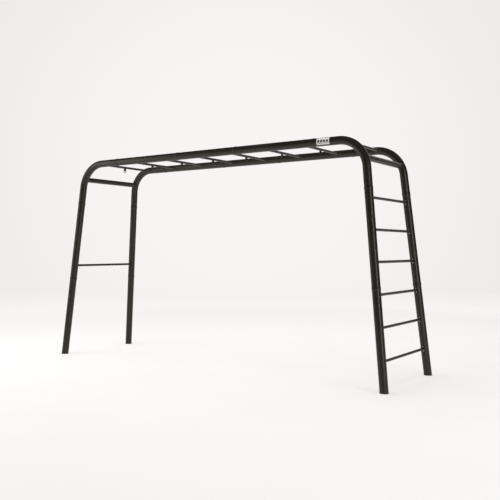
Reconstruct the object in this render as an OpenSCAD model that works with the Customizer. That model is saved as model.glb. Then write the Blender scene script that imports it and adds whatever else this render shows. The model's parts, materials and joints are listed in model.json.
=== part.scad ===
// Monkey bars in round steel tube. Two identical side frames lean towards each other,
// the far one turned half a turn about the vertical. Rungs, two cross tubes, a ladder
// and a low step rung join them. A steel ring hangs under the middle of each top rung.
// +X runs along the beams towards the ladder, +Y away from the labelled frame, +Z up.
// The origin is on the ground, midway between the four feet.

/* [Overall] */
// Height of the beam axis above the ground
beam_height = 2162; // [1750:1:2700]
// Distance between the left and right feet, centre to centre, at the ground
foot_span = 3936; // [3200:1:4800]
// Distance between the two side frames, centre to centre, at the ground
foot_width = 1030; // [840:1:1300]
// Outward lean of the legs within their side frame, in degrees
leg_splay = 6; // [2:0.5:10]
// Inward lean of each side frame, in degrees
frame_lean = 3; // [0:0.5:6]

/* [Frame tube] */
// Outside diameter of the frame tube
tube_d = 76; // [60:1:92]
// Wall of the frame tube
tube_wall = 3; // [2:0.5:5]
// Radius of the corner bends, measured to the tube's axis
bend_radius = 280; // [220:5:340]
// Length of the reduced end that plugs into the next tube
spigot_len = 110; // [105:1:130]
// Gap between a spigot and the socket around it
spigot_gap = 0.3; // [0.1:0.1:1]
// Width of the raised bead around a socket's mouth
bead_width = 36; // [28:1:42]
// Height of the bead above the tube
bead_rise = 2; // [1:0.1:3]
// Length of the rounded slope on each side of the bead
bead_slope = 13; // [6:0.5:14]
// Distance from a top rung to the centre of the next bead along the beam
beam_bead_offset = 150; // [145:1:155]
// Distance up the leg from the third ladder rung to the lower bead's centre
lower_bead_offset = 53; // [48:1:60]
// Distance up the leg from the top ladder rung to the upper bead's centre
upper_bead_offset = 79; // [60:1:85]

/* [Rungs] */
// Outside diameter of every rung
rung_d = 25; // [20:1:32]
// Wall of every rung
rung_wall = 2.5; // [2:0.5:4]
// Distance past the start of the bend at which the outermost top rung sits
top_past_bend = 33; // [10:1:60]
// Height of the lowest ladder rung
ladder_first = 254; // [200:1:320]
// Distance from the top ladder rung up to the cross tube
ladder_top_gap = 350; // [330:1:420]
// Distance from the lower bead's centre up the leg to the step rung
step_offset = 153; // [140:1:180]

/* [Cross tubes] */
// Outside diameter of the two cross tubes
cross_d = 54; // [42:1:62]
// Wall of the cross tubes
cross_wall = 3; // [2:0.5:5]
// Angle round the bend, up from the horizontal, at which a cross tube joins it
cross_angle = 24; // [15:1:45]

/* [Rung flanges] */
// Thickness of the saddle plate at each rung end
flange_t = 4; // [3:0.5:6]
// How far the saddle plate runs along the frame tube past its screws' axes
flange_end = 8; // [7:0.5:12]
// How far the saddle plate stands out beside its rung
flange_edge = 0.5; // [0.5:0.5:4]
// Gap between a rung and the heads of its flange screws
screw_clear = 2; // [1:0.5:5]
// Diameter of a flange screw's shank
screw_d = 6; // [5:1:6]
// Diameter of a flange screw's domed head
screw_head_d = 9.5; // [9:0.5:11]
// Height of a flange screw's head
screw_head_h = 3.3; // [2.5:0.1:4]
// Length of a flange screw's shank
screw_len = 18; // [14:1:22]

/* [Joint bolts] */
// Diameter of the bolt through each tube joint
bolt_d = 8; // [6:1:10]
// Diameter of the bolt's domed head
bolt_head_d = 14; // [12:0.5:18]
// Height of the bolt's head
bolt_head_h = 4.4; // [3:0.1:6]
// Length of the bolt's shank
bolt_len = 20; // [18:1:26]
// Distance from a leg socket's mouth to its bolt
leg_bolt_offset = 70; // [60:1:85]
// Distance from a beam socket's mouth to its bolt
beam_bolt_offset = 92; // [66:1:95]
// Distance up the leg from the ground to the bolt of the foot
foot_bolt_up = 63; // [50:1:80]

/* [Feet] */
// Thickness of the sole of a foot
foot_sole = 5; // [3:0.5:10]
// How far the sole stands out around the leg
foot_rim = 1.2; // [0:0.1:4]
// Length of the plug of a foot inside the leg
foot_plug_len = 95; // [85:1:120]
// Wall of the plug
foot_plug_wall = 4; // [3:0.5:6]

/* [Rings] */
// Thickness of the lug that carries a ring
lug_t = 6; // [4:0.5:8]
// Width of the lug along the rung
lug_w = 34; // [28:1:40]
// How far the lug hangs below its rung
lug_drop = 31; // [29:1:45]
// Diameter of the lug's hole
lug_hole_d = 12; // [10:0.5:14]
// Outside diameter of a ring
ring_d = 40; // [38:1:60]
// Diameter of the ring's wire
wire_d = 6; // [5:0.5:7]
// Play between the ring's wire and the edge of the hole it rests on
ring_play = 0.5; // [0.3:0.1:1]

/* [Label] */
// Length of the label plate along the beam
label_len = 148; // [100:1:170]
// Height of the label plate, seen square on
label_h = 60; // [40:1:66]
// Thickness of the label plate
label_t = 0.8; // [0.5:0.1:1.5]
// Distance from the last bead's centre to the label
label_offset = 38; // [30:1:60]
// Radius of the label's corners
label_corner = 7; // [3:0.5:15]

/* [Hidden] */
$fn = 96;
NEAR = 0;
FAR = 1;
LEFT = -1;
RIGHT = 1;
// Number of rungs across the top, two on each beam piece and one on each corner
top_count = 8;
// Number of ladder rungs, half on the lower leg and half on the upper
ladder_count = 6;
// Narrow gap that keeps seated pieces from sharing a surface
seat_gap = 0.1;
// Radial clearance of a screw or bolt in its threaded insert
thread_gap = 0.05;
// Radial clearance of a screw or bolt in a plain hole
hole_gap = 0.3;
// Wall and length of the threaded inserts
insert_wall = 1.5;
insert_len = 12;
// Radial clearance of an insert in the wall that holds it
insert_gap = 0.1;
// Length of the cone between a tube and its spigot, and of the longer one inside it
neck_len = 1;
inner_neck_len = 9;
// Number of straight steps that round off each slope of a bead
bead_steps = 5;
// How far a bend's faces are set in from the straight tube's, and run on inside it
bend_inset = 0.1;
bend_lap = 1;
// Outline of a domed head, as shares of its diameter and of its height
head_outline = [[0.5, 0], [0.5, 0.3], [0.44, 0.7], [0.3, 1]];
// Socket drive of the screws and bolts, as shares of the head
drive_share = 0.5;
drive_depth_share = 0.5;
// Chamfer at the tip of a shank
tip_chamfer = 0.5;
// How far a cutting shape stands past what it cuts
over = 1;
// Half the size of the blocks that trim the feet level
trim_size = 6000;

tube_r = tube_d / 2;
bore_r = tube_r - tube_wall;
spigot_r = bore_r - spigot_gap;
rung_r = rung_d / 2;
cross_r = cross_d / 2;
flange_r = tube_r + seat_gap + flange_t;
flange_w = rung_d + 2 * flange_edge;
screw_pitch = rung_d + screw_head_d + 2 * screw_clear;
flange_len = screw_pitch + 2 * flange_end;

// Distances in a side frame's own plane, which leans by frame_lean
frame_top = beam_height / cos(frame_lean);
leg_total = frame_top / cos(leg_splay);
corner_x = foot_span / 2 - frame_top * tan(leg_splay);
bend_turn = 90 - leg_splay;
bend_cut = bend_radius * tan(bend_turn / 2);
bend_x = corner_x - bend_cut;
leg_top = leg_total - bend_cut;

// Half the distance between the side frames' middle planes at a height z
function half_width(z) = foot_width / 2 - z * tan(frame_lean);
// Distance along a leg's axis of a point at the height z
function along_leg(z) = z / cos(frame_lean) / cos(leg_splay);
function height_on_leg(l) = l * cos(frame_lean) * cos(leg_splay);
function leg_x(z) = foot_span / 2 - z / cos(frame_lean) * tan(leg_splay);

// Top rungs
top_pitch = 2 * (bend_x + top_past_bend) / (top_count - 1);
function top_x(k) = (k - (top_count + 1) / 2) * top_pitch;
// Angle round the bend at which a place x lies, or 0 on the straight beam
function bend_at(x) = abs(x) > bend_x ? sign(x) * asin((abs(x) - bend_x) / bend_radius) : 0;
function frame_top_at(x) = frame_top - bend_radius * (1 - cos(bend_at(x)));
function top_z(k) = frame_top_at(top_x(k)) * cos(frame_lean);

// Cross tubes
cross_x = bend_x + bend_radius * cos(cross_angle);
cross_up = frame_top - bend_radius * (1 - sin(cross_angle));
cross_z = cross_up * cos(frame_lean);

// Ladder and step
ladder_last = cross_z - ladder_top_gap;
ladder_pitch = (ladder_last - ladder_first) / (ladder_count - 1);
function ladder_z(k) = ladder_first + (k - 1) * ladder_pitch;
// How far above the crossing of their axes a level rung meets its flange's face
rung_rise = flange_r * tan(frame_lean) * cos(leg_splay);
// Ladder rungs from this one down are on the lower leg
lower_rungs = ladder_count / 2;

// Socket mouths, along the leg and along the beam
lower_mouth = along_leg(ladder_z(lower_rungs)) + lower_bead_offset - bead_width / 2;
upper_mouth = along_leg(ladder_last) + upper_bead_offset - bead_width / 2;
inner_bead_x = top_x(top_count / 2 + 1) + beam_bead_offset;
outer_bead_x = top_x(top_count - 1) + beam_bead_offset;
mouths = [for (x = [-outer_bead_x, -inner_bead_x, inner_bead_x, outer_bead_x]) x - bead_width / 2];
first_mouth = mouths[0];
last_mouth = mouths[3];
step_along = lower_mouth + bead_width / 2 + step_offset;
step_z = height_on_leg(step_along);

// Rings, measured down from a rung's axis
lug_hole_down = rung_r + lug_drop - lug_w / 2;
hinge_down = lug_hole_down + lug_hole_d / 2 - wire_d / 2 - ring_play;
ring_r = (ring_d - wire_d) / 2;

SIDES = ["near", "far"];

// ---- Colours ----
module coated_steel() { color([0.19, 0.18, 0.17]) children(); }
module bright_steel() { color([0.72, 0.72, 0.70]) children(); }
module black_rubber() { color([0.08, 0.08, 0.08]) children(); }
module pale_plate() { color([0.86, 0.85, 0.83]) children(); }

// ---- Places ----
// A side frame's own axes: x along the beam, z up its leaning plane, y towards the inside
module at_frame(f) {
    rotate([0, 0, f * 180])
        translate([0, -foot_width / 2, 0])
            rotate([-frame_lean, 0, 0])
                children();
}

// A leg's axes within a side frame: z up the leg's axis from the ground
module at_leg(s) {
    translate([s * foot_span / 2, 0, 0])
        rotate([0, -s * leg_splay, 0])
            children();
}

module up_leg(l) { translate([0, 0, l]) children(); }

// A place on the beam, z along the tube towards +x, on the bend where x lies past it
module at_beam(x) {
    translate([x, 0, frame_top_at(x)])
        rotate([0, 90 + bend_at(x), 0])
            children();
}

// From here z points along y, from a tube's axis out through its inner face
module inwards() { rotate([-90, 0, 0]) children(); }

// The side of a frame's own x axis on which the ladder or the step lies
function ladder_side(f) = f == NEAR ? RIGHT : LEFT;
function step_side(f) = -ladder_side(f);

// The middle of a rung's flange on a leg, where the rung's axis crosses the leg's at l
module at_leg_flange(l) { up_leg(l + rung_rise) children(); }

// The middle of a top rung's flange, turned so that it faces along the level rung
module at_beam_flange(k) { at_beam(top_x(k)) rotate([0, 0, frame_lean]) children(); }

module at_ladder_rung(f, k) {
    at_frame(f) at_leg(ladder_side(f)) at_leg_flange(along_leg(ladder_z(k))) children();
}

module at_step_rung(f) {
    at_frame(f) at_leg(step_side(f)) at_leg_flange(step_along) children();
}

module at_top_rung(f, k) { at_frame(f) at_beam_flange(k) children(); }

// All the space below, or above, the height z
module below(z) {
    translate([-trim_size, -trim_size, z - trim_size])
        cube([2 * trim_size, 2 * trim_size, trim_size]);
}

module above(z) {
    translate([-trim_size, -trim_size, z])
        cube([2 * trim_size, 2 * trim_size, trim_size]);
}

// ---- Tube shapes ----
// A tube up z from 0 to len, with a beaded socket at its foot and a spigot past its top
module frame_tube(len, socket = true, spigot = true) {
    slope = [for (i = [0 : bead_steps])
        [bead_slope * i / bead_steps, bead_rise * (1 - cos(180 * i / bead_steps)) / 2]];
    foot = socket
        ? concat([for (i = [0 : bead_steps]) [tube_r + slope[i][1], slope[i][0]]],
                 [for (i = [bead_steps : -1 : 0]) [tube_r + slope[i][1], bead_width - slope[i][0]]])
        : [[tube_r, 0]];
    top = spigot
        ? [[tube_r, len - neck_len], [spigot_r, len], [spigot_r, len + spigot_len],
           [spigot_r - tube_wall, len + spigot_len], [spigot_r - tube_wall, len - neck_len],
           [bore_r, len - inner_neck_len]]
        : [[tube_r, len], [bore_r, len]];
    rotate_extrude()
        polygon(concat(foot, top, [[bore_r, 0]]));
}

// One corner's bend, whose section is its children, swept from the leg to the beam and
// run on a little way past each end
module bend_sweep(s) {
    lap_turn = asin(bend_lap / bend_radius);
    mirror([s == LEFT ? 1 : 0, 0, 0])
        translate([bend_x, 0, frame_top - bend_radius])
            rotate([90, 0, 0])
                rotate([0, 0, leg_splay - lap_turn])
                    rotate_extrude(angle = bend_turn + 2 * lap_turn)
                        translate([bend_radius, 0])
                            children();
}

// Two holes for a rung flange's threaded inserts, through the inner wall of a tube
module insert_pair_holes() {
    for (e = [-1, 1])
        up_leg(e * screw_pitch / 2)
            inwards()
                cylinder(r = screw_d / 2 + insert_wall + insert_gap, h = tube_d);
}

// One hole through the inner wall of a socket for its bolt
module bolt_hole() { inwards() cylinder(r = bolt_d / 2 + hole_gap, h = tube_d); }

// One hole through the inner wall of a spigot for its threaded insert
module bolt_insert_hole() {
    inwards() cylinder(r = bolt_d / 2 + insert_wall + insert_gap, h = tube_d);
}

// ---- Side frame pieces ----
module lower_leg(f, s) {
    buried = tube_d;
    coated_steel() difference() {
        at_frame(f) at_leg(s) difference() {
            up_leg(-buried) frame_tube(lower_mouth + buried, socket = false);
            up_leg(foot_bolt_up) bolt_hole();
            up_leg(lower_mouth + leg_bolt_offset) bolt_insert_hole();
            if (s == ladder_side(f))
                for (k = [1 : lower_rungs])
                    at_leg_flange(along_leg(ladder_z(k))) insert_pair_holes();
        }
        below(foot_sole);
    }
}

module upper_leg(f, s) {
    coated_steel() at_frame(f) at_leg(s) difference() {
        up_leg(lower_mouth) frame_tube(upper_mouth - lower_mouth);
        up_leg(lower_mouth + leg_bolt_offset) bolt_hole();
        up_leg(upper_mouth + leg_bolt_offset) bolt_insert_hole();
        if (s == ladder_side(f))
            for (k = [lower_rungs + 1 : ladder_count])
                at_leg_flange(along_leg(ladder_z(k))) insert_pair_holes();
        else
            at_leg_flange(step_along) insert_pair_holes();
    }
}

// The corner's straight end on the beam: a socket on the right, a spigot on the left
module corner_arm(s) {
    if (s == RIGHT)
        at_beam(last_mouth) frame_tube(bend_x - last_mouth, spigot = false);
    else
        at_beam(-bend_x) frame_tube(first_mouth + bend_x, socket = false);
}

module corner(f, s) {
    coated_steel() at_frame(f) difference() {
        union() {
            at_leg(s) up_leg(upper_mouth) frame_tube(leg_top - upper_mouth, spigot = false);
            bend_sweep(s) difference() {
                circle(r = tube_r - bend_inset);
                circle(r = bore_r + bend_inset);
            }
            corner_arm(s);
        }
        at_leg(s) up_leg(upper_mouth + leg_bolt_offset) bolt_hole();
        if (s == RIGHT)
            at_beam(last_mouth + beam_bolt_offset) bolt_hole();
        else
            at_beam(first_mouth + beam_bolt_offset) bolt_insert_hole();
        at_beam_flange(s == RIGHT ? top_count : 1) insert_pair_holes();
    }
}

// Beam piece i of a side frame: 0 left, 1 middle, 2 right, with two rungs on each
module beam(f, i) {
    coated_steel() at_frame(f) difference() {
        at_beam(mouths[i]) frame_tube(mouths[i + 1] - mouths[i]);
        at_beam(mouths[i] + beam_bolt_offset) bolt_hole();
        at_beam(mouths[i + 1] + beam_bolt_offset) bolt_insert_hole();
        for (k = [2 * i + 2, 2 * i + 3])
            at_beam_flange(k) insert_pair_holes();
    }
}

// A foot: a flat sole under the leg and a plug inside it
module foot(f, s) {
    sole_r = tube_r + foot_rim;
    plug_r = bore_r - spigot_gap;
    black_rubber() difference() {
        union() {
            difference() {
                at_frame(f) at_leg(s) up_leg(-tube_d) cylinder(r = sole_r, h = 2 * tube_d);
                above(foot_sole);
            }
            at_frame(f) at_leg(s) cylinder(r = plug_r, h = foot_plug_len);
        }
        below(0);
        at_frame(f) at_leg(s) up_leg(foot_plug_wall + foot_sole)
            cylinder(r = plug_r - foot_plug_wall, h = foot_plug_len);
        at_frame(f) at_leg(s) up_leg(foot_bolt_up) bolt_insert_hole();
    }
}

// ---- Pieces that join the side frames ----
// A hollow bar along y at x, z, long enough to reach both side frames' middle planes
module cross_bar(x, z, r, wall) {
    reach = half_width(z);
    translate([x, 0, z])
        rotate([90, 0, 0])
            difference() {
                cylinder(r = r, h = 2 * reach, center = true);
                cylinder(r = r - wall, h = 2 * reach + over, center = true);
            }
}

module cross_tube(s) {
    coated_steel() difference() {
        cross_bar(s * cross_x, cross_z, cross_r, cross_wall);
        at_frame(NEAR) bend_sweep(s) circle(r = tube_r + seat_gap);
        at_frame(FAR) bend_sweep(-s) circle(r = tube_r + seat_gap);
    }
}

// The space that a flange and the frame tube behind it take, as a cylinder along z
module flange_space() { cylinder(r = flange_r, h = 4 * flange_len, center = true); }

module top_rung(k) {
    coated_steel() difference() {
        cross_bar(top_x(k), top_z(k), rung_r, rung_wall);
        at_top_rung(NEAR, k) flange_space();
        at_top_rung(FAR, top_count + 1 - k) flange_space();
    }
}

module ladder_rung(k) {
    coated_steel() difference() {
        cross_bar(leg_x(ladder_z(k)), ladder_z(k), rung_r, rung_wall);
        for (f = [NEAR, FAR]) at_ladder_rung(f, k) flange_space();
    }
}

module step_rung() {
    coated_steel() difference() {
        cross_bar(-leg_x(step_z), step_z, rung_r, rung_wall);
        for (f = [NEAR, FAR]) at_step_rung(f) flange_space();
    }
}

// ---- Flanges and fasteners ----
// A saddle plate with round ends on the inner face of a tube that runs along z
module flange() {
    straight = flange_len - flange_w;
    difference() {
        intersection() {
            inwards() linear_extrude(height = tube_d) {
                square([flange_w, straight], center = true);
                for (e = [-1, 1]) translate([0, e * straight / 2]) circle(d = flange_w);
            }
            difference() {
                cylinder(r = flange_r, h = 2 * flange_len, center = true);
                cylinder(r = tube_r + seat_gap, h = 3 * flange_len, center = true);
            }
        }
        for (e = [-1, 1])
            up_leg(e * screw_pitch / 2)
                inwards()
                    cylinder(r = screw_d / 2 + hole_gap, h = tube_d);
    }
}

// A domed screw with a hexagon socket, its head seated at z = 0 and its shank below
module domed_screw(d, len, head_d, head_h) {
    shank = [[0, -len], [d / 2 - tip_chamfer, -len], [d / 2, tip_chamfer - len], [d / 2, 0]];
    head = [for (p = head_outline) [p[0] * head_d, p[1] * head_h]];
    difference() {
        rotate_extrude()
            polygon(concat(shank, head, [[0, head_h]]));
        translate([0, 0, head_h * (1 - drive_depth_share)])
            cylinder(d = head_d * drive_share, h = head_h, $fn = 6);
    }
}

// A threaded sleeve whose outer end is at z = 0
module insert(d) {
    translate([0, 0, -insert_len]) difference() {
        cylinder(r = d / 2 + insert_wall, h = insert_len);
        translate([0, 0, -over]) cylinder(r = d / 2 + thread_gap, h = insert_len + 2 * over);
    }
}

// A top rung's flange, relieved where the tube behind it starts to bend
module top_rung_flange(f, k) {
    coated_steel() difference() {
        at_top_rung(f, k) flange();
        if (abs(top_x(k)) > bend_x)
            at_frame(f) bend_sweep(sign(top_x(k))) circle(r = tube_r + seat_gap / 2);
    }
}

module flange_screws() {
    for (e = [-1, 1])
        up_leg(e * screw_pitch / 2)
            inwards()
                translate([0, 0, flange_r])
                    domed_screw(screw_d, screw_len, screw_head_d, screw_head_h);
}

module flange_inserts() {
    for (e = [-1, 1])
        up_leg(e * screw_pitch / 2)
            inwards()
                translate([0, 0, tube_r - seat_gap])
                    insert(screw_d);
}

module at_top_rung_ends() {
    for (f = [NEAR, FAR]) for (k = [1 : top_count]) at_top_rung(f, k) children();
}

module at_ladder_rung_ends() {
    for (f = [NEAR, FAR]) for (k = [1 : ladder_count]) at_ladder_rung(f, k) children();
}

module at_step_rung_ends() {
    for (f = [NEAR, FAR]) at_step_rung(f) children();
}

// Every bolted joint of the two side frames, those of the feet among them
module at_bolts() {
    for (f = [NEAR, FAR]) at_frame(f) {
        for (s = [LEFT, RIGHT])
            for (l = [foot_bolt_up, lower_mouth + leg_bolt_offset, upper_mouth + leg_bolt_offset])
                at_leg(s) up_leg(l) children();
        for (m = mouths) at_beam(m + beam_bolt_offset) children();
    }
}

module joint_bolts() {
    bright_steel() at_bolts() inwards()
        translate([0, 0, tube_r])
            domed_screw(bolt_d, bolt_len, bolt_head_d, bolt_head_h);
}

module joint_inserts() {
    bright_steel() at_bolts() inwards() translate([0, 0, spigot_r - seat_gap]) insert(bolt_d);
}

// ---- Rings ----
module at_rung_middle(k) { translate([top_x(k), 0, top_z(k)]) children(); }

// A flat lug below a rung, in the rung's own plane, with a hole for the ring
module lug() {
    difference() {
        rotate([90, 0, 90]) linear_extrude(height = lug_t, center = true) difference() {
            union() {
                translate([-lug_w / 2, -lug_hole_down]) square([lug_w, lug_hole_down]);
                translate([0, -lug_hole_down]) circle(d = lug_w);
            }
            translate([0, -lug_hole_down]) circle(d = lug_hole_d);
        }
        rotate([90, 0, 0]) cylinder(r = rung_r + thread_gap, h = 2 * lug_w, center = true);
    }
}

module ring_lugs() {
    coated_steel() for (k = [1 : top_count]) at_rung_middle(k) lug();
}

module ring(k) {
    bright_steel() at_rung_middle(k)
        translate([0, 0, -hinge_down - ring_r])
            rotate([90, 0, 0])
                rotate_extrude()
                    translate([ring_r, 0])
                        circle(d = wire_d, $fn = 48);
}

// ---- Label ----
// A thin plate bent round the beam, relieved where it reaches the bend
module label_plate() {
    face_r = tube_r + seat_gap;
    w = label_len - 2 * label_corner;
    h = label_h - 2 * label_corner;
    label_start = outer_bead_x + label_offset;
    pale_plate() at_frame(NEAR) difference() {
        translate([label_start, 0, frame_top]) intersection() {
            rotate([90, 0, 0]) linear_extrude(height = tube_d)
                translate([label_corner, -label_h / 2]) {
                    translate([-label_corner, label_corner]) square([label_len, h]);
                    square([w, label_h]);
                    for (x = [0, w]) for (y = [label_corner, label_h - label_corner])
                        translate([x, y]) circle(r = label_corner);
                }
            rotate([0, 90, 0]) difference() {
                cylinder(r = face_r + label_t, h = label_len);
                translate([0, 0, -over]) cylinder(r = face_r, h = label_len + 2 * over);
            }
        }
        if (label_start + label_len > bend_x)
            bend_sweep(RIGHT) circle(r = tube_r + seat_gap / 2);
    }
}

module part_of(f, name) { children(); }

// World sides: the far frame is turned round, so its own left is the right
for (f = [NEAR, FAR]) {
    s = f == NEAR ? RIGHT : LEFT;
    part_of(f, "left_lower_leg") lower_leg(f, -s);
    part_of(f, "left_upper_leg") upper_leg(f, -s);
    part_of(f, "left_corner") corner(f, -s);
    part_of(f, "left_beam") beam(f, 1 - s);
    part_of(f, "middle_beam") beam(f, 1);
    part_of(f, "right_beam") beam(f, 1 + s);
    part_of(f, "right_corner") corner(f, s);
    part_of(f, "right_upper_leg") upper_leg(f, s);
    part_of(f, "right_lower_leg") lower_leg(f, s);
    part_of(f, "left_foot") foot(f, -s);
    part_of(f, "right_foot") foot(f, s);
}
cross_tube(LEFT);  // left_cross_tube
cross_tube(RIGHT);  // right_cross_tube
for (k = [1 : top_count])
    top_rung(k);
for (k = [1 : ladder_count])
    ladder_rung(k);
step_rung();
for (f = [NEAR, FAR]) for (k = [1 : top_count]) top_rung_flange(f, k);  // top_rung_flanges
coated_steel() at_ladder_rung_ends() flange();  // ladder_rung_flanges
coated_steel() at_step_rung_ends() flange();  // step_rung_flanges
bright_steel() at_top_rung_ends() flange_screws();  // top_rung_screws
bright_steel() at_ladder_rung_ends() flange_screws();  // ladder_rung_screws
bright_steel() at_step_rung_ends() flange_screws();  // step_rung_screws
bright_steel() {  // rung_inserts
    at_top_rung_ends() flange_inserts();
    at_ladder_rung_ends() flange_inserts();
    at_step_rung_ends() flange_inserts();
}
joint_bolts();
joint_inserts();
ring_lugs();
for (k = [1 : top_count])
    ring(k);
label_plate();
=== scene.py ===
"""Monkey bars: finishes, welds, label print, floor, light and camera around the CAD frame.

Run as a script it makes everything once. Its operators and panel make the same pieces by hand.
"""

import json
import math

import bmesh
import bpy
import numpy as np
from bpy.props import FloatProperty, FloatVectorProperty, IntProperty, PointerProperty
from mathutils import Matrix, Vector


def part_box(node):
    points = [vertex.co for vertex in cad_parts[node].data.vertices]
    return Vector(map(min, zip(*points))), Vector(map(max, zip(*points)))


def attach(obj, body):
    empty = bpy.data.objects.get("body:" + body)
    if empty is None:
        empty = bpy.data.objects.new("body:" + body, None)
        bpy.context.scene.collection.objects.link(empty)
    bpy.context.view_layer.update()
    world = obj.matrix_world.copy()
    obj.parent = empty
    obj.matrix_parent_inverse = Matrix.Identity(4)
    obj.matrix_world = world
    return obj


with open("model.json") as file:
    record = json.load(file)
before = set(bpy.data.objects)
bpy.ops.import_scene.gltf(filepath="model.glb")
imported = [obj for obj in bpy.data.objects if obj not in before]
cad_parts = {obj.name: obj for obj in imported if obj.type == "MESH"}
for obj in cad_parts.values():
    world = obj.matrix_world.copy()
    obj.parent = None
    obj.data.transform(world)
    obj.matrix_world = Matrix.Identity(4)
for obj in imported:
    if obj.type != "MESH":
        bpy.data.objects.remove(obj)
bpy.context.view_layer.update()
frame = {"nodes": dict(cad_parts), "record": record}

bl_info = {
    "name": "Monkey Bars",
    "version": (1, 0, 0),
    "blender": (4, 5, 0),
    "location": "View3D > Sidebar > Monkey Bars",
    "description": "Finishes, welds and studio for a set of playground monkey bars",
    "category": "Object",
}

# Sizes of the steel frame, in metres and radians, as the CAD model has them
BEAM_HEIGHT = 2.162
FOOT_SPAN = 3.936
FOOT_WIDTH = 1.030
LEG_SPLAY = math.radians(6)
FRAME_LEAN = math.radians(3)
TUBE_RADIUS = 0.038
BEND_RADIUS = 0.280
RUNG_RADIUS = 0.0125
FLANGE_RADIUS = 0.0421
CROSS_RADIUS = 0.027
LUG_THICKNESS = 0.006
LUG_WIDTH = 0.034
RING_RADIUS = 0.017
WIRE_RADIUS = 0.003
LABEL_FACE_RADIUS = 0.0389

TOP_RUNGS = [f"top_rung_{k}" for k in range(1, 9)]
LADDER_RUNGS = [f"ladder_rung_{k}" for k in range(1, 7)]
CROSS_TUBES = ["left_cross_tube", "right_cross_tube"]
RINGS = [f"ring_{k}" for k in range(1, 9)]

FRAME_TOP = BEAM_HEIGHT / math.cos(FRAME_LEAN)
BEND_CUT = BEND_RADIUS * math.tan((math.pi / 2 - LEG_SPLAY) / 2)
BEND_X = FOOT_SPAN / 2 - FRAME_TOP * math.tan(LEG_SPLAY) - BEND_CUT

# Ripples along each kind of weld bead, their height as a share of the bead's radius, and how
# far they lean forward as an angle
RUNG_RIPPLES = 26
CROSS_RIPPLES = 52
LUG_RIPPLES = 26
RIPPLE_DEPTH = 0.09
RIPPLE_LEAN = 0.9

# A ring's butt weld: its place round the ring, and the half angle that it covers
SEAM_PLACE = math.radians(-35)
SEAM_HALF_ANGLE = 0.16

# The label's print: the middle and half length of its light panel along X, the thickness of the
# ink, then each dark bar's start and end from the plate's end, middle round the tube and half
# height
LABEL_PANEL = (sum(corner.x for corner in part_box("label_plate")) / 2, 0.064)
INK_HEIGHT = 0.00018
BLOCK_LENGTH = 0.022
LABEL_BLOCKS = [(x, x + BLOCK_LENGTH, 0.001, 0.0105) for x in (0.019, 0.048, 0.077, 0.106)]
LABEL_LINE = (0.019, 0.128, -0.0175, 0.0018)

# Middle of the painted pool of light on the glowing backdrop, where no lamp shines
PAINTED_POOL_CENTRE = (-9.6, 14.0, 4.0)


# ---- Surfaces ----
def grid_faces(rows, columns, wrap_rows, wrap_columns):
    """Quads between the neighbours of a grid of vertices, which may close on itself either way."""
    i = np.arange(rows if wrap_rows else rows - 1)[:, None]
    j = np.arange(columns if wrap_columns else columns - 1)[None, :]
    i2, j2 = (i + 1) % rows, (j + 1) % columns
    corners = [i * columns + j, i * columns + j2, i2 * columns + j2, i2 * columns + j]
    return np.stack(np.broadcast_arrays(*corners), -1).reshape(-1, 4)


def signed_volume(points, faces):
    """Volume of a closed surface: a sixth of the sum of each triangle's box product."""
    a, b, c, d = (points[faces[:, k]] for k in range(4))
    halves = np.einsum("ij,ij->i", a, np.cross(b, c)) + np.einsum("ij,ij->i", a, np.cross(c, d))
    return halves.sum() / 6


def add_piece(name, grids, body, material, wrap_rows=True):
    """Makes one smooth object of several closed grids, given as an array of copies, rows,
    columns and coordinates. Columns always close. Open rows end in a point, which is welded."""
    copies, rows, columns, _ = grids.shape
    points = grids.reshape(-1, 3)
    one = grid_faces(rows, columns, wrap_rows, True)
    faces = (one[None] + (np.arange(copies) * rows * columns)[:, None, None]).reshape(-1, 4)
    if signed_volume(points - points.mean(0), faces) < 0:
        faces = faces[:, ::-1]
    mesh = bpy.data.meshes.new(name)
    mesh.from_pydata(points.tolist(), [], faces.tolist())
    mesh.validate()
    welded = bmesh.new()
    welded.from_mesh(mesh)
    bmesh.ops.remove_doubles(welded, verts=welded.verts, dist=1e-6)
    welded.to_mesh(mesh)
    welded.free()
    mesh.shade_smooth()
    mesh.materials.append(material)
    piece = bpy.data.objects.new(name, mesh)
    bpy.context.scene.collection.objects.link(piece)
    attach(piece, body)
    return piece


def beads(paths, out, across, radius, ripples, columns):
    """Weld beads along closed paths. A point is the path's, plus the bead's radius times the
    cosine of the turn along `out` and the sine along `across`. The radius swells and falls
    once for each ripple, and each ripple leans forward as it goes round the section."""
    rows = paths.shape[1]
    t = np.linspace(0, 2 * np.pi, rows, endpoint=False)[None, :, None]
    u = np.linspace(0, 2 * np.pi, columns, endpoint=False)[None, None, :]
    swell = radius * (1 + RIPPLE_DEPTH * np.cos(ripples * t + RIPPLE_LEAN * np.cos(u)))
    return (
        paths[:, :, None]
        + (swell * np.cos(u))[..., None] * out[:, :, None]
        + (swell * np.sin(u))[..., None] * across[:, :, None]
    )


def middle_of(node):
    """Centre of a CAD node's box."""
    low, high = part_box(node)
    return (np.array(low) + np.array(high)) / 2


def half_width(z):
    """Distance from the middle plane to a side frame's tubes at height z."""
    return FOOT_WIDTH / 2 - z * math.tan(FRAME_LEAN)


def tube_direction(node, side):
    """Direction of the frame tube that the node's rung ends on, at the given side of Y."""
    x, _, z = middle_of(node)
    if node in TOP_RUNGS:
        past = max(0.0, abs(x) - BEND_X)
        turn = math.copysign(math.asin(past / BEND_RADIUS), x)
        local = np.array([math.cos(turn), 0, -math.sin(turn)])
    else:
        local = np.array([-math.copysign(math.sin(LEG_SPLAY), x), 0, math.cos(LEG_SPLAY)])
    lean = -side * FRAME_LEAN
    return np.array([local[0], local[2] * math.sin(lean), local[2] * math.cos(lean)])


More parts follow.
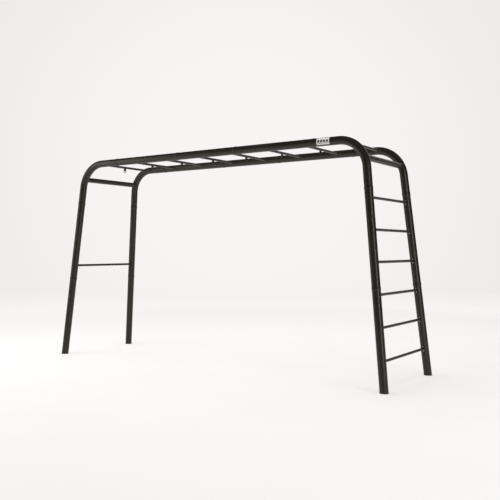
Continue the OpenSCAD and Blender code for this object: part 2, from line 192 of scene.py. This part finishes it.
def circle_round(centre, radius, rows):
    """Points of a circle round an axis along Y, and their directions away from that axis."""
    t = np.linspace(0, 2 * np.pi, rows, endpoint=False)
    out = np.stack([np.cos(t), np.zeros(rows), np.sin(t)], -1)
    return centre * np.array([1, 0, 1]) + radius * out, out


def rung_seam(node, side, rows):
    """Where a rung enters its flange: the rung's circle, with each point slid along Y until it
    is the flange's radius from the tube's axis, which solves a quadratic."""
    centre = middle_of(node)
    line, out = circle_round(centre, RUNG_RADIUS, rows)
    axis = tube_direction(node, side)
    on_axis = np.array([centre[0], side * half_width(centre[2]), centre[2]])
    square_on = np.eye(3) - np.outer(axis, axis)
    a = (line - on_axis) @ square_on
    b = square_on[1]
    ab, bb, aa = a @ b, b @ b, np.einsum("ij,ij->i", a, a)
    slide = (-ab - side * np.sqrt(ab**2 - bb * (aa - FLANGE_RADIUS**2))) / bb
    return line + slide[:, None] * np.array([0, 1, 0]), out


def bend_gap(points, x_side, side):
    """Distance of points from a corner bend's face: the tube's radius less the distance to the
    bend's arc, measured in the side frame's own leaning plane."""
    y = points[:, 1] * side - FOOT_WIDTH / 2
    up = points[:, 2] * math.cos(FRAME_LEAN) - y * math.sin(FRAME_LEAN)
    off = points[:, 2] * math.sin(FRAME_LEAN) + y * math.cos(FRAME_LEAN)
    along = points[:, 0] * x_side - BEND_X
    ring = np.hypot(along, up - (FRAME_TOP - BEND_RADIUS)) - BEND_RADIUS
    return np.hypot(ring, off) - TUBE_RADIUS


def cross_seam(node, side, rows):
    """Where a cross tube meets a bend: the tube's circle, with each point slid along Y to the
    bend's face by halving the range that holds it."""
    centre = middle_of(node)
    line, out = circle_round(centre, CROSS_RADIUS, rows)
    x_side = math.copysign(1, centre[0])
    inner, outer = np.zeros(rows), np.full(rows, half_width(centre[2]))
    for _ in range(40):
        reach = (inner + outer) / 2
        clear = bend_gap(line + (side * reach)[:, None] * np.array([0, 1, 0]), x_side, side) > 0
        inner, outer = np.where(clear, reach, inner), np.where(clear, outer, reach)
    return line + (side * inner)[:, None] * np.array([0, 1, 0]), out


def seam_beads(nodes, seam, radius, ripples, columns, rows):
    """Ripple beads round both ends of the given cross pieces."""
    found = [seam(node, side, rows) for node in nodes for side in (-1, 1)]
    paths, out = (np.stack(parts) for parts in zip(*found))
    across = np.broadcast_to(np.array([0.0, 1.0, 0.0]), out.shape)
    return beads(paths, out, across, radius, ripples, columns)


def lug_seams(rows):
    """Where each lug meets its rung: a rounded rectangle seen from below, laid on the rung."""
    t = np.linspace(0, 2 * np.pi, rows, endpoint=False)
    square = 0.35
    x = LUG_THICKNESS / 2 * np.sign(np.cos(t)) * np.abs(np.cos(t)) ** square
    y = LUG_WIDTH / 2 * np.sign(np.sin(t)) * np.abs(np.sin(t)) ** square
    drop = np.sqrt(RUNG_RADIUS**2 - x**2)
    centres = np.stack([middle_of(node) for node in TOP_RUNGS]) * np.array([1, 0, 1])
    paths = centres[:, None] + np.stack([x, y, -drop], -1)[None]
    out = np.stack([np.cos(t), np.sin(t), np.zeros(rows)], -1)
    across = np.broadcast_to(np.array([0.0, 0.0, 1.0]), paths.shape)
    return paths, np.broadcast_to(out[None], paths.shape), across


def ring_seam(node, rows, columns):
    """The butt weld of a ring: a short barrel round its wire at the side, whose radius is the
    wire's plus a bump that falls to nothing at both ends."""
    s = np.linspace(-1, 1, rows)[:, None]
    u = np.linspace(0, 2 * np.pi, columns, endpoint=False)[None, :]
    angle = SEAM_PLACE + SEAM_HALF_ANGLE * s
    swell = WIRE_RADIUS * np.sqrt(np.clip(1 - s**2, 0, 1)) ** 0.35 * (1.02 + 0.12 * (1 - s**2))
    reach = RING_RADIUS + swell * np.cos(u)
    points = np.stack([reach * np.cos(angle), swell * np.sin(u), reach * np.sin(angle)], -1)
    return (middle_of(node) + points)[None]


def label_bar(start, end, middle, half_height, rows, columns):
    """A raised printed bar on the label: a flat pill bent round the tube. Its half height and
    thickness shrink to a point at each end as a rounded rectangle's do."""
    low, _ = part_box("label_plate")
    s = np.linspace(-1, 1, rows)[:, None]
    u = np.linspace(0, 2 * np.pi, columns, endpoint=False)[None, :]
    cap = (1 - np.abs(s) ** 12) ** (1 / 3)
    cap_u = np.sign(np.cos(u)) * np.abs(np.cos(u)) ** 0.3
    x = low.x + start + (end - start) * (s + 1) / 2 + 0 * u
    around = (middle + half_height * cap * cap_u) / LABEL_FACE_RADIUS
    radius = LABEL_FACE_RADIUS + INK_HEIGHT * cap * np.sin(u)
    off, up = -radius * np.cos(around), radius * np.sin(around)
    y = off * math.cos(FRAME_LEAN) + (FRAME_TOP + up) * math.sin(FRAME_LEAN) - FOOT_WIDTH / 2
    z = (FRAME_TOP + up) * math.cos(FRAME_LEAN) - off * math.sin(FRAME_LEAN)
    return np.stack([x, y, z], -1)[None]


# ---- Materials ----
def linear(hex_colour):
    """A colour written as sRGB hex digits, turned into the linear values that shaders take."""
    raw = np.array([int(hex_colour[i : i + 2], 16) / 255 for i in (0, 2, 4)])
    turned = np.where(raw <= 0.04045, raw / 12.92, ((raw + 0.055) / 1.055) ** 2.4)
    return (*turned.tolist(), 1.0)


def add_node(tree, kind, settings=None, links=None):
    """Adds a node, sets its sockets and properties by name, and links other nodes into it."""
    node = tree.nodes.new(kind)
    for key, value in (settings or {}).items():
        if key in node.inputs:
            node.inputs[key].default_value = value
        else:
            setattr(node, key, value)
    for key, source in (links or {}).items():
        tree.links.new(source, node.inputs[key])
    return node


def colour_ramp(tree, source, stops):
    """A ramp from a 0 to 1 value to colours, given as pairs of place and sRGB hex."""
    node = add_node(tree, "ShaderNodeValToRGB", links={"Fac": source})
    elements = node.color_ramp.elements
    while len(elements) < len(stops):
        elements.new(0.5)
    for element, (place, colour) in zip(elements, stops):
        element.position = place
        element.color = linear(colour)
    return node.outputs["Color"]


def new_material(name):
    """A material with an empty node tree, its output node and the object's own coordinates."""
    material = bpy.data.materials.new(name)
    material.use_nodes = True
    tree = material.node_tree
    tree.nodes.clear()
    output = add_node(tree, "ShaderNodeOutputMaterial")
    place = add_node(tree, "ShaderNodeTexCoord").outputs["Object"]
    return material, tree, output, place


def noise(tree, place, size, detail=2.0, roughness=0.5):
    """Cloudy variation from 0 to 1 with features of the given size in metres."""
    settings = {"Scale": 1 / size, "Detail": detail, "Roughness": roughness}
    return add_node(tree, "ShaderNodeTexNoise", settings, {"Vector": place}).outputs["Fac"]


def spread(tree, source, low, high):
    """Takes a value around 0.3 to 0.7 and spreads it from low to high."""
    settings = {"From Min": 0.3, "From Max": 0.7, "To Min": low, "To Max": high}
    return add_node(tree, "ShaderNodeMapRange", settings, {"Value": source}).outputs["Result"]


def relief(tree, height, depth, normal=None):
    """Turns a 0 to 1 height into surface relief of the given depth in metres."""
    links = {"Height": height}
    if normal is not None:
        links["Normal"] = normal
    settings = {"Strength": 1.0, "Distance": depth}
    return add_node(tree, "ShaderNodeBump", settings, links).outputs["Normal"]


def powder_coat(name, dark, middle, light):
    """Satin charcoal powder coat. The eye gets a warm near-black with a broad soft highlight,
    a faint orange peel about 2 mm across, and corners that are rounded by the thick film."""
    material, tree, output, place = new_material(name)
    rounded = add_node(tree, "ShaderNodeBevel", {"samples": 4, "Radius": 0.0008}).outputs["Normal"]
    peel = noise(tree, place, 0.0021, detail=1.5)
    grit = noise(tree, place, 0.0006, detail=1.0)
    peeled = relief(tree, peel, 0.00006, normal=rounded)
    surface = relief(tree, grit, 0.000012, normal=peeled)
    clouds = noise(tree, place, 0.35, detail=4.0, roughness=0.6)
    colour = colour_ramp(tree, clouds, [(0.3, dark), (0.5, middle), (0.72, light)])
    links = {
        "Base Color": colour,
        "Roughness": spread(tree, noise(tree, place, 0.09, detail=3.0), 0.31, 0.39),
        "Normal": surface,
    }
    settings = {"Specular IOR Level": 0.46, "Specular Tint": linear("f3e8db")}
    shader = add_node(tree, "ShaderNodeBsdfPrincipled", settings, links)
    tree.links.new(shader.outputs["BSDF"], output.inputs["Surface"])
    return material


def fastener_metal(name, light, dark, smooth, rough):
    """Bare, blackened or plated steel. The eye gets a grey that takes its light from the room,
    fine tumbling marks about a millimetre across, and duller patches where it was handled."""
    material, tree, output, place = new_material(name)
    rounded = add_node(tree, "ShaderNodeBevel", {"samples": 4, "Radius": 0.0004}).outputs["Normal"]
    marks = noise(tree, place, 0.0009, detail=4.0, roughness=0.7)
    patches = noise(tree, place, 0.012, detail=3.0)
    links = {
        "Base Color": colour_ramp(tree, patches, [(0.3, dark), (0.7, light)]),
        "Roughness": spread(tree, patches, smooth, rough),
        "Normal": relief(tree, marks, 0.00002, normal=rounded),
    }
    shader = add_node(tree, "ShaderNodeBsdfPrincipled", {"Metallic": 1.0}, links)
    tree.links.new(shader.outputs["BSDF"], output.inputs["Surface"])
    return material


def foot_rubber(name, black, dusty):
    """Moulded black rubber. The eye gets a matt, slightly greyed black with a fine pebble and
    a trace of ground dust near the floor."""
    material, tree, output, place = new_material(name)
    pebble = noise(tree, place, 0.0014, detail=2.0)
    height = add_node(tree, "ShaderNodeSeparateXYZ", links={"Vector": place}).outputs["Z"]
    near_floor = {"From Min": 0.0, "From Max": 0.006, "To Min": 0.75, "To Max": 0.3}
    dust = add_node(tree, "ShaderNodeMapRange", near_floor, {"Value": height}).outputs["Result"]
    links = {
        "Base Color": colour_ramp(tree, dust, [(0.3, black), (0.8, dusty)]),
        "Normal": relief(tree, pebble, 0.00008),
    }
    shader = add_node(tree, "ShaderNodeBsdfPrincipled", {"Roughness": 0.8}, links)
    tree.links.new(shader.outputs["BSDF"], output.inputs["Surface"])
    return material


def label_film(name, light, dark, margin=None):
    """Printed plastic film on a plate. The eye gets a satin, even surface with a very slight
    waviness from the plate under it, and a dark printed margin at each end if one is given as
    the middle of the print along X and its half length."""
    material, tree, output, place = new_material(name)
    waves = noise(tree, place, 0.02, detail=1.0)
    colour = colour_ramp(tree, waves, [(0.3, dark), (0.7, light)])
    if margin:
        x = add_node(tree, "ShaderNodeSeparateXYZ", links={"Vector": place}).outputs["X"]
        inside = add_node(tree, "ShaderNodeMath", {"operation": "COMPARE"}, {0: x})
        inside.inputs[1].default_value, inside.inputs[2].default_value = margin
        ink = {"Color1": linear("2a2825")}
        links = {"Fac": inside.outputs["Value"], "Color2": colour}
        colour = add_node(tree, "ShaderNodeMixRGB", ink, links).outputs["Color"]
    links = {"Base Color": colour, "Normal": relief(tree, waves, 0.0001)}
    shader = add_node(tree, "ShaderNodeBsdfPrincipled", {"Roughness": 0.38}, links)
    tree.links.new(shader.outputs["BSDF"], output.inputs["Surface"])
    return material


def painted_backdrop_glow(tree, place):
    """Painted light on the backdrop, which glows though it is no lamp: a painted pool of light at
    full tone around one point, and a slightly greyer tone away from there."""
    gap = {"operation": "DISTANCE"}
    away = add_node(tree, "ShaderNodeVectorMath", gap, {"Vector": place})
    away.inputs[1].default_value = PAINTED_POOL_CENTRE
    # Painted pool of light: the glow turns greyer with distance from its painted centre
    fall = {"From Min": 3.0, "From Max": 11.0, "interpolation_type": "SMOOTHSTEP"}
    share = add_node(tree, "ShaderNodeMapRange", fall, {"Value": away.outputs["Value"]})
    colour = colour_ramp(tree, share.outputs["Result"], [(0.0, "f7f5f3"), (1.0, "ecebe8")])
    return add_node(tree, "ShaderNodeEmission", links={"Color": colour}).outputs["Emission"]


def fade(tree, out, start, end, first, second, least=0.0):
    """One shader that turns into another between two distances from the middle of the floor."""
    reach = {"From Min": start, "From Max": end, "To Min": least}
    share = add_node(tree, "ShaderNodeMapRange", reach, {"Value": out}).outputs["Result"]
    mixed = add_node(tree, "ShaderNodeMixShader", links={"Fac": share})
    tree.links.new(first, mixed.inputs[1])
    tree.links.new(second, mixed.inputs[2])
    return mixed.outputs["Shader"]


def studio_floor(radius):
    """Pale painted studio floor. The eye gets an even warm white that takes faint soft shadows
    near the object and runs into the backdrop's own tone far from it."""
    material, tree, output, place = new_material("studio_floor")
    painted = {"Roughness": 0.95, "Specular IOR Level": 0.0}
    mottle = noise(tree, place, 0.8, detail=3.0)
    colour = colour_ramp(tree, mottle, [(0.3, "f1efec"), (0.7, "f4f2ef")])
    near = add_node(tree, "ShaderNodeBsdfPrincipled", painted, {"Base Color": colour})
    length = {"operation": "LENGTH"}
    out = add_node(tree, "ShaderNodeVectorMath", length, {"Vector": place}).outputs["Value"]
    glow = add_node(tree, "ShaderNodeEmission", {"Color": linear("f9f7f5")}).outputs["Emission"]
    lit = fade(tree, out, 2.5, 8.0, near.outputs["BSDF"], glow, least=0.45)
    # Far off, the floor turns into the backdrop's painted glow and its painted pool of light
    far = fade(tree, out, radius / 2, radius, lit, painted_backdrop_glow(tree, place))
    tree.links.new(far, output.inputs["Surface"])
    return material


def studio_backdrop():
    """Paper backdrop that glows though it is no lamp. The eye gets a smooth warm white with a
    painted pool of light, and no edge between it and the floor."""
    material, tree, output, place = new_material("studio_backdrop")
    tree.links.new(painted_backdrop_glow(tree, place), output.inputs["Surface"])
    return material


# Each material slot's maker, material name and colours
FINISHES = {
    "coated_tube": (powder_coat, "charcoal_powder_coat", "1c1914", "201c17", "25211b"),
    "ring_coat": (powder_coat, "black_dip_coat", "161513", "191816", "1d1c1a"),
    "screws": (fastener_metal, "plain_stainless", "dcd9d3", "bdbab4", 0.24, 0.36),
    "joint_bolts": (fastener_metal, "blackened_steel", "55524e", "403e3b", 0.34, 0.46),
    "inserts": (fastener_metal, "zinc_plate", "b4b3ac", "97968f", 0.36, 0.5),
    "foot_rubber": (foot_rubber, "black_rubber", "1c1b1a", "2e2c2a"),
    "label": (label_film, "label_film", "e0ddd8", "d8d5d0", LABEL_PANEL),
    "label_print": (label_film, "label_ink", "3a3835", "32302d"),
}


def finish_of(name):
    """A slot's material, made the first time that it is asked for."""
    make, material_name, *looks = FINISHES[name]
    return bpy.data.materials.get(material_name) or make(material_name, *looks)


# ---- Settings ----
class MonkeyBarsSettings(bpy.types.PropertyGroup):
    """What can be changed before the pieces are made."""

    rung_bead: FloatProperty(
        name="Rung weld",
        description="Radius of the weld bead between a rung and its flange",
        default=0.0018,
        unit="LENGTH",
    )
    cross_bead: FloatProperty(
        name="Cross tube weld",
        description="Radius of the weld bead between a cross tube and a corner bend",
        default=0.0030,
        unit="LENGTH",
    )
    lug_bead: FloatProperty(
        name="Lug weld",
        description="Radius of the weld bead between a lug and its rung",
        default=0.0014,
        unit="LENGTH",
    )
    sections: IntProperty(
        name="Bead sides",
        description="Number of points round a weld bead's section",
        default=12,
        min=6,
        max=32,
    )
    camera_place: FloatVectorProperty(
        name="Camera",
        description="Where the camera stands",
        default=(4.3136, -5.9100, 1.1923),
        subtype="XYZ",
        unit="LENGTH",
    )
    camera_turn: FloatProperty(
        name="Camera turn",
        description="Heading of the camera, anticlockwise from the Y axis",
        default=0.6009,
        unit="ROTATION",
    )
    stage_radius: FloatProperty(
        name="Stage radius",
        description="Radius at which the floor turns up into the backdrop",
        default=14.0,
        unit="LENGTH",
    )


# ---- Operators ----
class MONKEYBARS_OT_finishes(bpy.types.Operator):
    """Give every CAD node the finish of its material slot"""

    bl_idname = "monkeybars.finishes"
    bl_label = "Finishes"

    def execute(self, context):
        for part in frame["record"]["subparts"]:
            node = frame["nodes"][part["node"]]
            node.data.materials.clear()
            node.data.materials.append(finish_of(part["material_slot"]))
        return {"FINISHED"}


class MONKEYBARS_OT_rung_welds(bpy.types.Operator):
    """Add the weld beads between the rungs and their flanges"""

    bl_idname = "monkeybars.rung_welds"
    bl_label = "Rung welds"

    def execute(self, context):
        sizes = context.scene.monkey_bars
        groups = {"top": TOP_RUNGS, "ladder": LADDER_RUNGS, "step": ["step_rung"]}
        for name, nodes in groups.items():
            weld = (sizes.rung_bead, RUNG_RIPPLES, sizes.sections)
            grids = seam_beads(nodes, rung_seam, *weld, rows=156)
            coat = finish_of("coated_tube")
            add_piece(f"{name}_rung_welds", grids, "frame", coat)
        return {"FINISHED"}


class MONKEYBARS_OT_cross_welds(bpy.types.Operator):
    """Add the weld beads between the cross tubes and the corner bends"""

    bl_idname = "monkeybars.cross_welds"
    bl_label = "Cross tube welds"

    def execute(self, context):
        sizes = context.scene.monkey_bars
        weld = (sizes.cross_bead, CROSS_RIPPLES, sizes.sections)
        grids = seam_beads(CROSS_TUBES, cross_seam, *weld, rows=312)
        add_piece("cross_tube_welds", grids, "frame", finish_of("coated_tube"))
        return {"FINISHED"}


class MONKEYBARS_OT_lug_welds(bpy.types.Operator):
    """Add the weld beads between the lugs and the top rungs"""

    bl_idname = "monkeybars.lug_welds"
    bl_label = "Lug welds"

    def execute(self, context):
        sizes = context.scene.monkey_bars
        grids = beads(*lug_seams(rows=160), sizes.lug_bead, LUG_RIPPLES, sizes.sections)
        add_piece("lug_welds", grids, "frame", finish_of("coated_tube"))
        return {"FINISHED"}


class MONKEYBARS_OT_ring_seams(bpy.types.Operator):
    """Add the butt weld of each ring"""

    bl_idname = "monkeybars.ring_seams"
    bl_label = "Ring seams"

    def execute(self, context):
        for node in RINGS:
            coat = finish_of("ring_coat")
            grid = ring_seam(node, rows=17, columns=24)
            add_piece(f"{node}_seam", grid, node, coat, wrap_rows=False)
        return {"FINISHED"}


class MONKEYBARS_OT_label_print(bpy.types.Operator):
    """Add the plain printed bars on the label"""

    bl_idname = "monkeybars.label_print"
    bl_label = "Label print"

    def execute(self, context):
        for index, bar in enumerate([*LABEL_BLOCKS, LABEL_LINE], 1):
            ink = finish_of("label_print")
            grid = label_bar(*bar, rows=65, columns=32)
            add_piece(f"label_bar_{index}", grid, "frame", ink, wrap_rows=False)
        return {"FINISHED"}


class MONKEYBARS_OT_stage(bpy.types.Operator):
    """Make the floor, the backdrop, the lights and the camera"""

    bl_idname = "monkeybars.stage"
    bl_label = "Stage"

    def execute(self, context):
        sizes = context.scene.monkey_bars
        self.make_floor(sizes.stage_radius)
        self.make_world(context.scene)
        self.make_lights()
        self.make_camera(context.scene, sizes)
        context.scene.view_settings.view_transform = "Standard"
        return {"FINISHED"}

    def make_floor(self, radius):
        """A round floor, and a wall of revolution that curves up from its edge."""
        turn = np.linspace(0, 2 * np.pi, 96, endpoint=False)[None, :]
        reach = (radius * np.linspace(0, 1, 25) ** 1.5)[:, None]
        flat = np.stack([reach * np.cos(turn), reach * np.sin(turn), 0 * reach * turn], -1)
        rise = np.linspace(0, np.pi / 2, 17)[:, None]
        cove_radius = 3.0
        wall_height = 9.0
        out = radius + cove_radius * np.sin(rise)
        up = cove_radius - cove_radius * np.cos(rise)
        cove = np.stack([out * np.cos(turn), out * np.sin(turn), up + 0 * turn], -1)
        top = cove[-1:] + np.array([0, 0, wall_height])
        self.add_sheet("floor", flat, studio_floor(radius))
        backdrop = self.add_sheet("backdrop", np.concatenate([cove, top]), studio_backdrop())
        backdrop.visible_glossy = False
        backdrop.visible_diffuse = False

    def add_sheet(self, name, grid, material):
        """A smooth open sheet that is part of the stage."""
        rows, columns, _ = grid.shape
        mesh = bpy.data.meshes.new(name)
        faces = grid_faces(rows, columns, False, True)
        mesh.from_pydata(grid.reshape(-1, 3).tolist(), [], faces.tolist())
        mesh.validate()
        mesh.shade_smooth()
        mesh.materials.append(material)
        sheet = bpy.data.objects.new(name, mesh)
        bpy.context.scene.collection.objects.link(sheet)
        return sheet

    def make_world(self, scene):
        """A dim even room, so that the tubes stay dark where no lamp or floor shows in them."""
        world = bpy.data.worlds.new("studio_room")
        world.use_nodes = True
        world.node_tree.nodes.clear()
        output = add_node(world.node_tree, "ShaderNodeOutputWorld")
        room = {"Color": linear("ffffff"), "Strength": 0.042}
        glow = add_node(world.node_tree, "ShaderNodeBackground", room)
        world.node_tree.links.new(glow.outputs["Background"], output.inputs["Surface"])
        scene.world = world

    def make_lights(self):
        """A wide softbox overhead for the floor, which the steel doesn't mirror, a tall one near
        each end of the frame for the highlights, and one behind for the cross tubes."""
        overhead = self.add_light("overhead_softbox", (-1.5, -0.5, 8), (0, 0, 0), (14, 14), 1290)
        overhead.visible_glossy = False
        self.add_light("left_softbox", (-3.8, -2.6, 2.4), (-1.9, -0.5, 1.8), (1.3, 3.6), 40)
        self.add_light("right_softbox", (6.8, -2.3, 1.9), (1.9, 0, 1.2), (0.9, 3.6), 105)
        self.add_light("back_softbox", (1.2, 5.2, 3.6), (-1.0, 0, 1.8), (3.5, 3.5), 40)

    def add_light(self, name, place, target, size, power):
        """A rectangular area light at a place, facing a target."""
        lamp = bpy.data.lights.new(name, "AREA")
        lamp.shape = "RECTANGLE"
        lamp.size, lamp.size_y = size
        lamp.energy = power
        light = bpy.data.objects.new(name, lamp)
        aim = np.array(target) - np.array(place)
        light.location = place
        tilt = math.atan2(math.hypot(aim[0], aim[1]), -aim[2])
        light.rotation_euler = (tilt, 0, math.atan2(-aim[0], aim[1]))
        light.visible_camera = False
        bpy.context.scene.collection.objects.link(light)
        return light

    def make_camera(self, scene, sizes):
        """A level camera with a 50 mm lens on a 36 mm wide sensor."""
        lens = bpy.data.cameras.new("camera")
        lens.lens = 50
        lens.sensor_width = 36
        lens.clip_end = 200
        camera = bpy.data.objects.new("camera", lens)
        camera.location = sizes.camera_place
        camera.rotation_euler = (math.pi / 2, 0, sizes.camera_turn)
        scene.collection.objects.link(camera)
        scene.camera = camera


class MONKEYBARS_PT_panel(bpy.types.Panel):
    """Sizes and one button for each group of pieces"""

    bl_label = "Monkey Bars"
    bl_space_type = "VIEW_3D"
    bl_region_type = "UI"
    bl_category = "Monkey Bars"

    def draw(self, context):
        for name in MonkeyBarsSettings.__annotations__:
            self.layout.prop(context.scene.monkey_bars, name)
        for operator in OPERATORS:
            self.layout.operator(operator.bl_idname)


OPERATORS = (
    MONKEYBARS_OT_finishes,
    MONKEYBARS_OT_rung_welds,
    MONKEYBARS_OT_cross_welds,
    MONKEYBARS_OT_lug_welds,
    MONKEYBARS_OT_ring_seams,
    MONKEYBARS_OT_label_print,
    MONKEYBARS_OT_stage,
)
CLASSES = (MonkeyBarsSettings, *OPERATORS, MONKEYBARS_PT_panel)


def register():
    for cls in CLASSES:
        bpy.utils.register_class(cls)
    bpy.types.Scene.monkey_bars = PointerProperty(type=MonkeyBarsSettings)


def unregister():
    del bpy.types.Scene.monkey_bars
    for cls in reversed(CLASSES):
        bpy.utils.unregister_class(cls)


def main():
    """Makes every group in order."""
    register()
    bpy.ops.monkeybars.finishes()
    bpy.ops.monkeybars.rung_welds()
    bpy.ops.monkeybars.cross_welds()
    bpy.ops.monkeybars.lug_welds()
    bpy.ops.monkeybars.ring_seams()
    bpy.ops.monkeybars.label_print()
    bpy.ops.monkeybars.stage()


if __name__ == "__main__":
    main()
